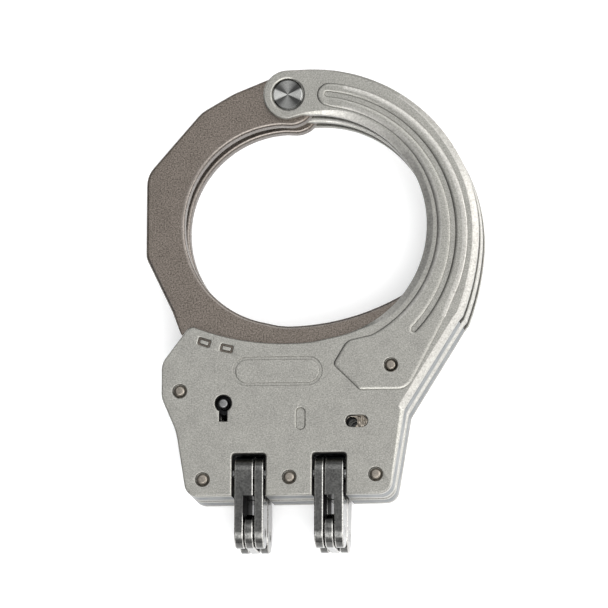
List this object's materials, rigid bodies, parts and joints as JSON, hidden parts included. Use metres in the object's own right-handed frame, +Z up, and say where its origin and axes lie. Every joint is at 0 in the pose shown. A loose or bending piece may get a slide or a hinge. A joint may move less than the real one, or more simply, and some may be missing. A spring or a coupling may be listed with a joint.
{
  "type": "hinged handcuffs",
  "caption": "Pair of double-hinged steel handcuffs, folded, with ratchet bows that swing between twin cheek plates and a key-operated lock.",
  "frame": {"origin": "under the middle of the folded pair's box, on the plane that the lower cuff rests on", "axes": "+Z up through the two folded cuffs and along the ring openings, +Y from the hinges to the bow pivots, +X towards the solid strand side"},
  "size_m": [0.086, 0.1234, 0.0204],
  "materials": {
    "cheek_steel": "bead-blasted satin nickel plate",
    "lock_body_steel": "smooth ground steel",
    "bow_steel": "satin steel with polished edges",
    "pivot_steel": "turned and polished",
    "rivet_steel": "satin, warm nickel tone",
    "pin_steel": "ground",
    "hinge_steel": "gun-metal oxide with worn edges",
    "lock_part_steel": "satin hardened steel",
    "spring_steel": "blued spring strip"
  },
  "bodies": {
    "lower_cuff": {"lower_outer_cheek": "cheek_steel", "lower_inner_cheek": "cheek_steel", "lower_lock_body": "lock_body_steel", "lower_pivot_rivet": "pivot_steel", "lower_pawl_pin": "pin_steel", "lower_pawl_spring": "spring_steel", "lower_detent_spring": "spring_steel", "lower_key_post": "pin_steel", "lower_body_rivets": "rivet_steel", "lower_frame_hinge_pins": "pin_steel"},
    "lower_bow": {"lower_bow": "bow_steel"},
    "lower_pawl": {"lower_pawl": "lock_part_steel"},
    "lower_double_lock": {"lower_double_lock_bar": "lock_part_steel"},
    "lower_yoke": {"lower_left_cranked_leaf": "hinge_steel", "lower_left_plain_leaf": "hinge_steel", "lower_right_cranked_leaf": "hinge_steel", "lower_right_plain_leaf": "hinge_steel", "lower_link_pins": "pin_steel"},
    "upper_cuff": {"upper_outer_cheek": "cheek_steel", "upper_inner_cheek": "cheek_steel", "upper_lock_body": "lock_body_steel", "upper_pivot_rivet": "pivot_steel", "upper_pawl_pin": "pin_steel", "upper_pawl_spring": "spring_steel", "upper_detent_spring": "spring_steel", "upper_key_post": "pin_steel", "upper_body_rivets": "rivet_steel", "upper_frame_hinge_pins": "pin_steel"},
    "upper_bow": {"upper_bow": "bow_steel"},
    "upper_pawl": {"upper_pawl": "lock_part_steel"},
    "upper_double_lock": {"upper_double_lock_bar": "lock_part_steel"},
    "upper_yoke": {"upper_left_cranked_leaf": "hinge_steel", "upper_left_plain_leaf": "hinge_steel", "upper_right_cranked_leaf": "hinge_steel", "upper_right_plain_leaf": "hinge_steel", "upper_link_pins": "pin_steel"},
    "middle_links": {"left_middle_link": "hinge_steel", "right_middle_link": "hinge_steel"}
  },
  "joints": [
    {"name": "lower_bow_swing", "type": "hinge", "parent": "lower_cuff", "child": "lower_bow", "pos_m": [-0.00625, 0.05515, 0.005], "axis": [0, 0, 1], "continuous": true},
    {"name": "lower_pawl_lift", "type": "hinge", "parent": "lower_cuff", "child": "lower_pawl", "pos_m": [0.00125, -0.01885, 0.005], "axis": [0, 0, 1], "range_deg": [-4.5, 0]},
    {"name": "lower_double_lock_slide", "type": "slide", "parent": "lower_cuff", "child": "lower_double_lock", "axis": [1, 0, 0], "range_m": [0, 0.0024]},
    {"name": "upper_bow_swing", "type": "hinge", "parent": "upper_cuff", "child": "upper_bow", "pos_m": [-0.00625, 0.05515, 0.0154], "axis": [0, 0, 1], "continuous": true},
    {"name": "upper_pawl_lift", "type": "hinge", "parent": "upper_cuff", "child": "upper_pawl", "pos_m": [0.00125, -0.01885, 0.0154], "axis": [0, 0, 1], "range_deg": [-4.5, 0]},
    {"name": "upper_double_lock_slide", "type": "slide", "parent": "upper_cuff", "child": "upper_double_lock", "axis": [1, 0, 0], "range_m": [0, 0.0024]},
    {"name": "lower_yoke_play", "type": "hinge", "parent": "lower_cuff", "child": "lower_yoke", "pos_m": [0, -0.04235, 0.005], "axis": [-1, 0, 0], "range_deg": [-1.5, 0]},
    {"name": "lower_link_fold", "type": "hinge", "parent": "lower_yoke", "child": "middle_links", "pos_m": [0, -0.05735, 0.005], "axis": [1, 0, 0], "range_deg": [0, 180]},
    {"name": "upper_link_fold", "type": "hinge", "parent": "middle_links", "child": "upper_yoke", "pos_m": [0, -0.05735, 0.0154], "axis": [1, 0, 0], "range_deg": [0, 180]},
    {"name": "upper_yoke_play", "type": "hinge", "parent": "upper_yoke", "child": "upper_cuff", "pos_m": [0, -0.04235, 0.0154], "axis": [-1, 0, 0], "range_deg": [-1.5, 0]}
  ]
}
